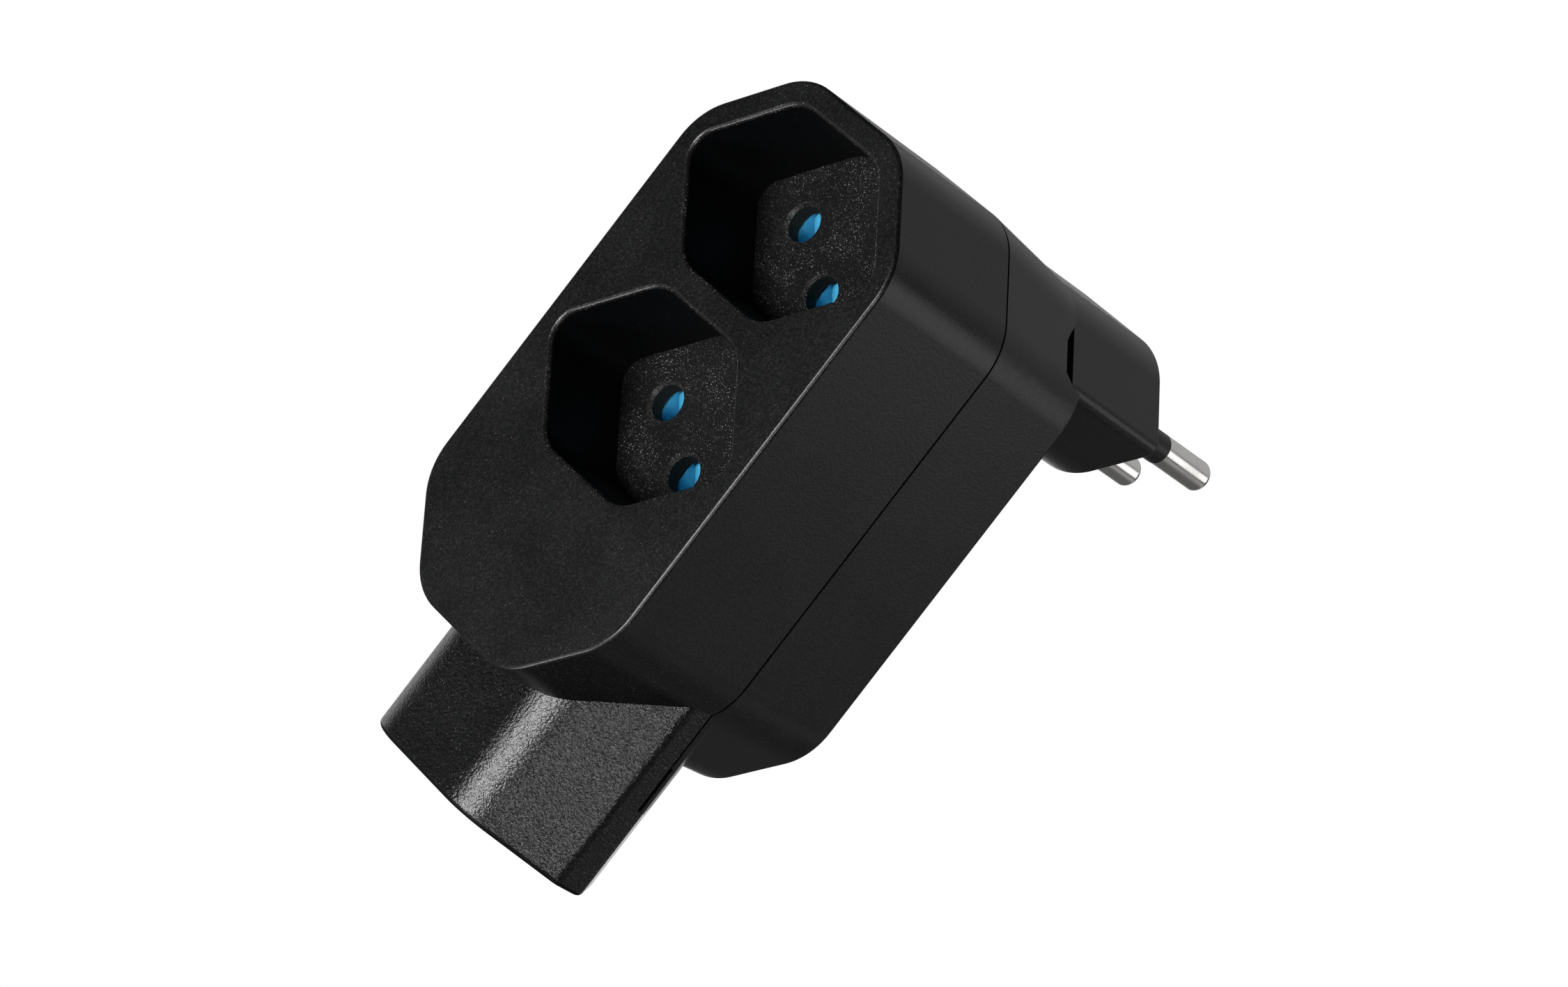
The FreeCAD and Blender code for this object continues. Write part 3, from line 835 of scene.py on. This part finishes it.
@dataclass
class Spring:
    """A compression spring wound by rule."""

    rack: Rack
    shutter: Body
    travel: float = 4.6
    turns: float = 6.0
    wire: float = 0.2
    steps: int = 40
    wire_sides: int = 10

    def build(self) -> bpy.types.Object:
        """Winds the spring inside its CAD node's box.

        Returns:
            The piece.
        """
        node = self.shutter.value + "_spring"
        low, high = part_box(node)
        size = high - low
        axis = 1 if self.shutter is Body.LOWER else 2
        across = size[(axis + 1) % 3]
        tree = NodeTree(node + "_rule")
        wire = tree.size("Wire radius", self.wire * MM)
        radius = tree.size("Coil radius", across / 2 - self.wire * MM)
        rise = tree.size("Rise", size[axis] - 2 * self.wire * MM)
        turns = tree.size("Turns", self.turns)
        line = tree.node("GeometryNodeCurveSpiral", {}, {
            "Resolution": self.steps, "Rotations": turns, "Start Radius": radius, "End Radius": radius,
            "Height": rise, "Reverse": False})
        ring = tree.node("GeometryNodeCurvePrimitiveCircle", {}, {
            "Resolution": self.wire_sides, "Radius": wire})
        tube = tree.node("GeometryNodeCurveToMesh", {}, {
            "Curve": line.outputs[0], "Profile Curve": ring.outputs[0], "Fill Caps": True})
        smooth = tree.node("GeometryNodeSetShadeSmooth", {}, {0: tube.outputs[0]})
        tree.close(smooth.outputs[0], self.rack.get(SPRING_STEEL))
        piece = tree.applied(points([Vector()], node + "_wound"))
        turn = Matrix.Identity(4) if axis == 2 else Matrix.Rotation(math.radians(-90), 4, "X")
        start = (low + high) / 2
        start[axis] = low[axis] + self.wire * MM
        piece.data.transform(Matrix.Translation(start) @ turn)
        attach(piece, Body.ADAPTER.value)
        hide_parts(node)
        along = tuple(float(index == axis) for index in range(3))
        1 - self.travel * MM / size[axis]
        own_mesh(piece)
        return piece


@dataclass
class ShutterWorks:
    """The shutter, guide and spring of each of the three sockets."""

    rack: Rack
    sockets: dict[str, Body] = field(default_factory=lambda: {
        "upper": Body.UPPER, "middle": Body.MIDDLE, "lower": Body.LOWER})

    def build(self) -> list[bpy.types.Object]:
        """Builds the pieces behind the pin holes.

        Returns:
            The pieces.
        """
        made = []
        for name, body in self.sockets.items():
            made.append(Skin(name + "_shutter", body, Slot.SHUTTER).build([self.rack.get(SHUTTER_BLUE)]))
            made.append(Skin(name + "_shutter_guide", Body.ADAPTER, Slot.CARRIER).build(
                [self.rack.get(CARRIER_GREY)]))
            made.append(Spring(self.rack, body).build())
        return made


@dataclass
class ContactWorks:
    """Carriers, bus bars and the nine contacts."""

    rack: Rack
    poles: tuple[str, ...] = ("line", "neutral", "earth")
    sockets: tuple[str, ...] = ("upper", "middle", "lower")

    def build(self) -> list[bpy.types.Object]:
        """Builds the pieces that carry current.

        Returns:
            The pieces.
        """
        brass, grey = self.rack.get(BRASS), self.rack.get(CARRIER_GREY)
        made = [Skin(name, Body.ADAPTER, Slot.CARRIER).build([grey])
                for name in ("contact_carrier", "lower_contact_carrier")]
        for pole in self.poles:
            names = [pole + "_bus_bar"] + [f"{socket}_{pole}_contact" for socket in self.sockets]
            made += [Skin(name, Body.ADAPTER, Slot.CONTACT).build([brass]) for name in names]
        return made


@dataclass
class CaseScrews:
    """The four case screws at the bottom of their sinks, made by rule."""

    rack: Rack
    head_radius: float = 2.2
    head_height: float = 1.5
    shank_radius: float = 0.95
    thread_radius: float = 0.22
    thread_turns: float = 9.0
    slot_width: float = 0.7
    slot_depth: float = 0.8
    slot_reach: float = 3.08
    sides: int = 40
    thread_steps: int = 24
    thread_sides: int = 6
    thread_share: float = 0.9
    thread_start: float = 0.96

    def solid(self, tree: NodeTree, kind: str, inputs: dict[Any, Any], height: float) -> bpy.types.NodeSocket:
        """Adds one primitive on the screw's axis.

        Args:
            tree: The tree.
            kind: The primitive's node type.
            inputs: Its sizes.
            height: Where its middle lies above the head's underside, in metres.

        Returns:
            The moved primitive.
        """
        made = tree.node(kind, {}, inputs)
        inputs = {"Geometry": made.outputs["Mesh"], "Translation": (0.0, 0.0, height)}
        return tree.node("GeometryNodeTransform", {}, inputs).outputs[0]

    def rule(self, shank_length: float) -> NodeTree:
        """Builds the tree that sets a screw on each point.

        Args:
            shank_length: The shank's length in metres.

        Returns:
            The tree.
        """
        tree = NodeTree("case_screws_rule")
        head_radius = tree.size("Head radius", self.head_radius * MM)
        head_height = tree.size("Head height", self.head_height * MM)
        shank_radius = tree.size("Shank radius", self.shank_radius * MM)
        turns = tree.size("Thread turns", self.thread_turns)
        head = self.solid(tree, "GeometryNodeMeshCylinder", {
            "Vertices": self.sides, "Radius": head_radius, "Depth": head_height}, self.head_height * MM / 2)
        depth, width, reach = self.slot_depth * MM * 2, self.slot_width * MM, self.slot_reach * MM
        slots = [self.solid(tree, "GeometryNodeMeshCube", {"Size": size}, self.head_height * MM)
                 for size in ((width, reach, depth), (reach, width, depth))]
        cut = tree.node("GeometryNodeMeshBoolean", {"operation": "DIFFERENCE"}, {0: head})
        for slot in slots:
            tree.tree.links.new(slot, cut.inputs[1])
        shank = self.solid(tree, "GeometryNodeMeshCylinder", {
            "Vertices": self.sides, "Radius": shank_radius, "Depth": shank_length}, -shank_length / 2)
        line = tree.node("GeometryNodeCurveSpiral", {}, {
            "Resolution": self.thread_steps, "Rotations": turns, "Start Radius": shank_radius,
            "End Radius": shank_radius, "Height": shank_length * self.thread_share, "Reverse": False})
        profile = tree.node("GeometryNodeCurvePrimitiveCircle", {}, {
            "Resolution": self.thread_sides, "Radius": self.thread_radius * MM})
        thread = tree.node("GeometryNodeCurveToMesh", {}, {
            "Curve": line.outputs[0], "Profile Curve": profile.outputs[0], "Fill Caps": True})
        wound = tree.node("GeometryNodeTransform", {}, {
            "Geometry": thread.outputs[0], "Translation": (0.0, 0.0, -shank_length * self.thread_start)})
        whole = tree.join([cut.outputs["Mesh"], shank, wound.outputs[0]])
        set_out = tree.node("GeometryNodeInstanceOnPoints", {}, {
            "Points": tree.entry.outputs[0], "Instance": whole, "Rotation": (math.radians(-90), 0.0, 0.0)})
        tree.close(set_out.outputs[0], self.rack.get(SCREW_STEEL))
        return tree

    def build(self) -> list[bpy.types.Object]:
        """Builds the screws where the CAD node's four solids are.

        Returns:
            The pieces.
        """
        low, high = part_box("case_screws")
        inset, under = self.head_radius * MM, high.y - self.head_height * MM
        places = [Vector((x, under, z)) for x in (low.x + inset, high.x - inset)
                  for z in (low.z + inset, high.z - inset)]
        piece = self.rule(under - low.y).applied(points(places, "case_screws_made"))
        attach(piece, Body.ADAPTER.value)
        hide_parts("case_screws")
        return [piece]


# Studio


@dataclass(frozen=True)
class SoftLight:
    """A soft box that faces a point of the object, in metres and watts."""

    name: str
    place: Triple
    size: tuple[float, float]
    power: float
    aim: Triple = (0.0, -0.03, -0.03)

    def build(self) -> bpy.types.Object:
        """Puts the light into the scene.

        Returns:
            The light.
        """
        lamp = bpy.data.lights.new(self.name, "AREA")
        lamp.shape = "RECTANGLE"
        lamp.size, lamp.size_y = self.size
        lamp.energy = self.power
        made = bpy.data.objects.new(self.name, lamp)
        bpy.context.scene.collection.objects.link(made)
        made.visible_camera = False
        made.location = self.place
        made.rotation_euler = (Vector(self.aim) - Vector(self.place)).to_track_quat("-Z", "Y").to_euler()
        return made


@dataclass
class Studio:
    """Floor, surroundings, lights and camera.

    The eye is in millimetres, and rows are the camera's right, down and ahead. Other places are in metres.
    """

    picture_width: float = 2251.0
    focal_pixels: float = 8282.37
    sensor: float = 36.0
    clip: tuple[float, float] = (0.01, 50.0)
    eye: Triple = (478.05, -517.97, 24.51)
    rows: tuple[Triple, Triple, Triple] = (
        (0.5338135, 0.58839231, 0.60732004),
        (0.48085278, 0.37956364, -0.79038728),
        (-0.6955744, 0.71395093, -0.08031388))
    floor_half: float = 4.0
    floor_drop: float = 0.35
    glow_start: tuple[float, float] = (0.65, 1.1)
    glow_end: tuple[float, float] = (1.8, 2.6)
    glow: float = 0.30
    paper: Colour = (0.35, 0.35, 0.35)
    sky: Colour = (0.9, 0.95, 1.0)
    sky_strength: float = 0.05
    lights: tuple[SoftLight, ...] = (
        SoftLight("front_box", (0.05, -1.08, -0.21), (0.60, 0.34), 10.5),
        SoftLight("camera_side_box", (0.85, -0.66, -0.10), (0.16, 0.16), 1.7),
        SoftLight("low_front_box", (0.0, -0.26, -0.36), (0.12, 0.12), 0.42),
        SoftLight("left_box", (-1.1, 0.15, -0.05), (0.6, 0.6), 0.9),
        SoftLight("rear_left_box", (-0.80, 0.80, -0.12), (0.6, 0.6), 1.3),
        SoftLight("rear_right_box", (0.80, 0.80, 0.22), (0.55, 0.55), 1.2),
        SoftLight("rear_top_box", (-0.15, 0.85, 0.65), (1.5, 0.8), 1.3),
    )

    def camera(self) -> bpy.types.Object:
        """Places the camera where the photograph was taken.

        Returns:
            The camera.
        """
        data = bpy.data.cameras.new("photo_camera")
        data.sensor_fit = "HORIZONTAL"
        data.sensor_width = self.sensor
        data.lens = self.focal_pixels / self.picture_width * self.sensor
        data.clip_start, data.clip_end = self.clip
        made = bpy.data.objects.new("photo_camera", data)
        bpy.context.scene.collection.objects.link(made)
        right, down, ahead = (Vector(row).normalized() for row in self.rows)
        turn = Matrix((right, -down, -ahead)).transposed().to_4x4()
        made.matrix_world = Matrix.Translation(Vector(self.eye) * MM) @ turn
        bpy.context.scene.camera = made
        return made

    def surroundings(self) -> None:
        """Makes a white backdrop that lights the object only softly."""
        world = bpy.data.worlds.new("white_backdrop")
        bpy.context.scene.world = world
        tree = ShaderTree(world)
        path = tree.node("ShaderNodeLightPath", {}, {}).outputs["Is Camera Ray"]
        soft = tree.node("ShaderNodeBackground", {}, {"Color": self.sky, "Strength": self.sky_strength})
        white = tree.node("ShaderNodeBackground", {}, {"Color": WHITE, "Strength": 1.0})
        mix = {0: path, 1: soft.outputs[0], 2: white.outputs[0]}
        shade = tree.node("ShaderNodeMixShader", {}, mix)
        tree.node("ShaderNodeOutputWorld", {}, {"Surface": shade.outputs[0]})

    def floor(self) -> bpy.types.Object:
        """Makes the plain pale floor under the lower housing.

        Returns:
            The floor.
        """
        level = CAD_BOX[0].z - self.floor_drop
        half = self.floor_half
        mesh = bpy.data.meshes.new("floor")
        corners = [(x * half, y * half, level) for x, y in ((-1, -1), (1, -1), (1, 1), (-1, 1))]
        mesh.from_pydata(corners, [], [(0, 1, 2, 3)])
        piece = link(mesh, "floor")
        tree = ShaderTree(bpy.data.materials.new("floor_pale"))
        across, away = tree.along("X"), tree.along("Y")
        reach = across * across + away * away
        near, far = ([(limit / MM) ** 2 for limit in pair] for pair in (self.glow_start, self.glow_end))
        ring = reach.ramp(*near) * (1 - reach.ramp(*far))
        path = tree.node("ShaderNodeLightPath", {}, {}).outputs["Is Camera Ray"]
        paper = tree.node("ShaderNodeBsdfDiffuse", {}, {"Color": self.paper})
        glow = tree.node("ShaderNodeEmission", {}, {"Color": WHITE, "Strength": self.glow})
        white = tree.node("ShaderNodeEmission", {}, {"Color": WHITE, "Strength": 1.0})
        lit = tree.node("ShaderNodeMixShader", {}, {0: ring, 1: paper.outputs[0], 2: glow.outputs[0]})
        shade = tree.node("ShaderNodeMixShader", {}, {0: path, 1: lit.outputs[0], 2: white.outputs[0]})
        tree.node("ShaderNodeOutputMaterial", {}, {"Surface": shade.outputs[0]})
        mesh.materials.append(tree.owner)
        return piece

    def build(self) -> None:
        """Builds the whole studio."""
        bpy.context.scene.view_settings.view_transform = "Standard"
        self.surroundings()
        self.floor()
        for light in self.lights:
            light.build()
        self.camera()


def main() -> None:
    """Builds every sub-assembly and the studio."""
    logging.basicConfig(level=logging.INFO, format="%(name)s: %(message)s")
    rack = Rack(FINISHES)
    for works in (FrontCover(rack), BackShell(rack), LowerHousing(rack), PlugTower(rack), ShutterWorks(rack),
                  ContactWorks(rack), CaseScrews(rack)):
        for piece in works.build():
            log.info("%s: %s with %d faces", type(works).__name__, piece.name, len(piece.data.polygons))
    Studio().build()


if __name__ == "__main__":
    main()
